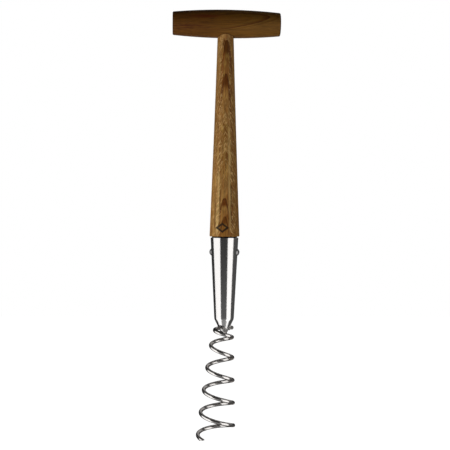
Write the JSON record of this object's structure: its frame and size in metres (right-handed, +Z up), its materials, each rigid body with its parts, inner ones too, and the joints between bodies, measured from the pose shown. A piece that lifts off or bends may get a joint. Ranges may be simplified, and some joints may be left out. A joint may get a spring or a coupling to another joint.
{
  "type": "corkscrew bulb planter",
  "caption": "T-handled garden corkscrew with wooden crossbar and tapered shaft, steel socket and left-hand wire coil, for loosening soil, planting bulbs and drawing out roots.",
  "frame": {"origin": "where the shaft's axis crosses the crossbar's axis, at the middle of the grip", "axes": "+Z runs up the shaft away from the coil, +X runs along the crossbar to the right seen from the front, -Y is the front"},
  "size_m": [0.1204, 0.0423, 0.4799],
  "materials": {
    "crossbar_wood": "turned hardwood, darker, satin varnish",
    "shaft_wood": "turned hardwood, golden brown, satin varnish",
    "wedge_wood": "dark hardwood",
    "socket_steel": "mirror-polished stainless steel",
    "rivet_steel": "polished stainless steel",
    "wire_steel": "polished round stainless wire",
    "weld_steel": "wire-brushed weld"
  },
  "bodies": {
    "root": {"crossbar": "crossbar_wood", "shaft": "shaft_wood", "tenon_wedge": "wedge_wood", "shaft_socket": "socket_steel", "socket_rivet": "rivet_steel", "coil": "wire_steel", "coil_weld_upper": "weld_steel", "coil_weld_lower": "weld_steel"}
  },
  "joints": []
}
